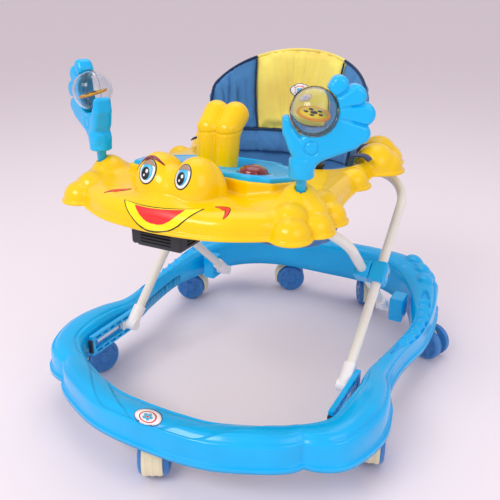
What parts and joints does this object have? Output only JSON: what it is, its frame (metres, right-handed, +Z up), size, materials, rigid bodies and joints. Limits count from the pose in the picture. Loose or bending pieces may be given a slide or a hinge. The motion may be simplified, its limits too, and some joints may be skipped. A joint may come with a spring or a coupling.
{
  "type": "baby walker",
  "caption": "Folding baby walker: moulded base ring on casters, scissor tube frame, play tray with animal face, rattle hands and a padded seat.",
  "frame": {"origin": "on the floor, under the middle of the base ring", "axes": "+Z up, -Y the way the tray's face looks and the walker rolls, +X to the child's left as it faces -Y"},
  "size_m": [0.544, 0.6525, 0.503],
  "materials": {
    "base_blue": "glossy",
    "toy_blue": "glossy",
    "tray_yellow": "glossy",
    "caster_cream": "satin",
    "wheel_blue": "satin",
    "axle_steel": "satin",
    "tube_white": "glossy",
    "foot_white": "satin",
    "box_black": "satin",
    "seat_fabric": "woven",
    "strap_navy": "woven",
    "button_red": "glossy",
    "ball_clear": "clear",
    "disc_yellow": "glossy"
  },
  "bodies": {
    "base": {"base_ring": "base_blue", "slot_rail_left": "base_blue", "slot_rail_right": "base_blue", "rear_bracket_left": "base_blue", "rear_bracket_right": "base_blue", "caster_sockets": "base_blue"},
    "legs_inner": {"inner_tube": "tube_white", "inner_clamp_left": "base_blue", "inner_clamp_right": "base_blue", "rear_foot_left": "foot_white", "rear_foot_right": "foot_white"},
    "legs_outer": {"outer_tube": "tube_white", "outer_clamp_left": "base_blue", "outer_clamp_right": "base_blue", "front_foot_left": "foot_white", "front_foot_right": "foot_white"},
    "slides": {"slide_blocks": "foot_white"},
    "tray": {"tray_shell": "tray_yellow", "rear_hinge_clips": "tray_yellow", "front_tracks": "tray_yellow", "music_box": "box_black", "toy_panel": "toy_blue", "horn_handle": "tray_yellow", "seat_back": "seat_fabric", "seat_sling": "seat_fabric", "seat_hooks": "strap_navy", "tray_plugs": "box_black", "hand_posts": "toy_blue"},
    "push_left": {"button_left": "button_red"},
    "push_right": {"button_right": "button_red"},
    "rattle_left": {"hand_left": "toy_blue"},
    "rattle_right": {"hand_right": "toy_blue"},
    "globe_left": {"ball_left": "ball_clear", "disc_left": "disc_yellow"},
    "globe_right": {"ball_right": "ball_clear", "disc_right": "disc_yellow"},
    "caster_front": {"fork_front": "caster_cream", "axle_front": "axle_steel"},
    "wheel_front": {"wheels_front": "wheel_blue"},
    "caster_front_left": {"fork_front_left": "caster_cream", "axle_front_left": "axle_steel"},
    "wheel_front_left": {"wheels_front_left": "wheel_blue"},
    "caster_front_right": {"fork_front_right": "caster_cream", "axle_front_right": "axle_steel"},
    "wheel_front_right": {"wheels_front_right": "wheel_blue"},
    "caster_side_left": {"fork_side_left": "caster_cream", "axle_side_left": "axle_steel"},
    "wheel_side_left": {"wheels_side_left": "wheel_blue"},
    "caster_side_right": {"fork_side_right": "caster_cream", "axle_side_right": "axle_steel"},
    "wheel_side_right": {"wheels_side_right": "wheel_blue"},
    "caster_rear_left": {"fork_rear_left": "caster_cream", "axle_rear_left": "axle_steel"},
    "wheel_rear_left": {"wheels_rear_left": "wheel_blue"},
    "caster_rear_right": {"fork_rear_right": "caster_cream", "axle_rear_right": "axle_steel"},
    "wheel_rear_right": {"wheels_rear_right": "wheel_blue"}
  },
  "joints": [
    {"name": "fold", "type": "hinge", "parent": "base", "child": "legs_inner", "pos_m": [0, 0.156, 0.081], "axis": [1, 0, 0], "range_deg": [0, 20]},
    {"name": "scissor", "type": "hinge", "parent": "legs_inner", "child": "legs_outer", "pos_m": [0, 0.02744, 0.19676], "axis": [1, 0, 0], "range_deg": [-40, 0]},
    {"name": "tray_hinge", "type": "hinge", "parent": "legs_outer", "child": "tray", "pos_m": [0, 0.156, 0.31252], "axis": [1, 0, 0], "range_deg": [0, 20]},
    {"name": "front_feet", "type": "hinge", "parent": "legs_outer", "child": "slides", "pos_m": [0, -0.10113, 0.081], "axis": [1, 0, 0], "range_deg": [0, 20]},
    {"name": "swivel_front", "type": "hinge", "parent": "base", "child": "caster_front", "pos_m": [0, -0.296, 0.07], "axis": [0, 0, 1], "continuous": true},
    {"name": "roll_front", "type": "hinge", "parent": "caster_front", "child": "wheel_front", "pos_m": [-0.00751, -0.28187, 0.0275], "axis": [0.8829, 0.4695, 0], "continuous": true},
    {"name": "swivel_front_left", "type": "hinge", "parent": "base", "child": "caster_front_left", "pos_m": [-0.235, -0.145, 0.07], "axis": [0, 0, 1], "continuous": true},
    {"name": "roll_front_left", "type": "hinge", "parent": "caster_front_left", "child": "wheel_front_left", "pos_m": [-0.23059, -0.12962, 0.0275], "axis": [0.9613, -0.2756, 0], "continuous": true},
    {"name": "swivel_front_right", "type": "hinge", "parent": "base", "child": "caster_front_right", "pos_m": [0.235, -0.145, 0.07], "axis": [0, 0, 1], "continuous": true},
    {"name": "roll_front_right", "type": "hinge", "parent": "caster_front_right", "child": "wheel_front_right", "pos_m": [0.23059, -0.12962, 0.0275], "axis": [0.9613, 0.2756, 0], "continuous": true},
    {"name": "swivel_side_left", "type": "hinge", "parent": "base", "child": "caster_side_left", "pos_m": [-0.226, 0.172, 0.07], "axis": [0, 0, 1], "continuous": true},
    {"name": "roll_side_left", "type": "hinge", "parent": "caster_side_left", "child": "wheel_side_left", "pos_m": [-0.24103, 0.16653, 0.0275], "axis": [-0.342, 0.9397, 0], "continuous": true},
    {"name": "swivel_side_right", "type": "hinge", "parent": "base", "child": "caster_side_right", "pos_m": [0.226, 0.172, 0.07], "axis": [0, 0, 1], "continuous": true},
    {"name": "roll_side_right", "type": "hinge", "parent": "caster_side_right", "child": "wheel_side_right", "pos_m": [0.24103, 0.16653, 0.0275], "axis": [-0.342, -0.9397, 0], "continuous": true},
    {"name": "swivel_rear_left", "type": "hinge", "parent": "base", "child": "caster_rear_left", "pos_m": [-0.094, 0.29, 0.07], "axis": [0, 0, 1], "continuous": true},
    {"name": "roll_rear_left", "type": "hinge", "parent": "caster_rear_left", "child": "wheel_rear_left", "pos_m": [-0.07987, 0.29751, 0.0275], "axis": [0.4695, -0.8829, 0], "continuous": true},
    {"name": "swivel_rear_right", "type": "hinge", "parent": "base", "child": "caster_rear_right", "pos_m": [0.094, 0.29, 0.07], "axis": [0, 0, 1], "continuous": true},
    {"name": "roll_rear_right", "type": "hinge", "parent": "caster_rear_right", "child": "wheel_rear_right", "pos_m": [0.08649, 0.30413, 0.0275], "axis": [0.8829, 0.4695, 0], "continuous": true},
    {"name": "push_left", "type": "slide", "parent": "tray", "child": "push_left", "axis": [0, -0.1461, -0.9893], "range_m": [0, 0.003], "stiffness_N_per_m": 400, "springref_m": -0.001},
    {"name": "hand_turn_left", "type": "hinge", "parent": "tray", "child": "rattle_left", "pos_m": [-0.141, -0.18, 0.4], "axis": [0, 0, 1], "range_deg": [-30, 30]},
    {"name": "ball_spin_left", "type": "hinge", "parent": "rattle_left", "child": "globe_left", "pos_m": [-0.15071, -0.17484, 0.462], "axis": [-0.8829, 0.4695, 0], "continuous": true},
    {"name": "push_right", "type": "slide", "parent": "tray", "child": "push_right", "axis": [0, -0.1461, -0.9893], "range_m": [0, 0.003], "stiffness_N_per_m": 400, "springref_m": -0.001},
    {"name": "hand_turn_right", "type": "hinge", "parent": "tray", "child": "rattle_right", "pos_m": [0.141, -0.18, 0.4], "axis": [0, 0, 1], "range_deg": [-30, 30]},
    {"name": "ball_spin_right", "type": "hinge", "parent": "rattle_right", "child": "globe_right", "pos_m": [0.15071, -0.17484, 0.462], "axis": [0.8829, 0.4695, 0], "continuous": true}
  ],
  "couplings": [
    {"joint": "scissor", "follows": "fold", "ratio": -2},
    {"joint": "tray_hinge", "follows": "fold", "ratio": 1},
    {"joint": "front_feet", "follows": "fold", "ratio": 1}
  ]
}
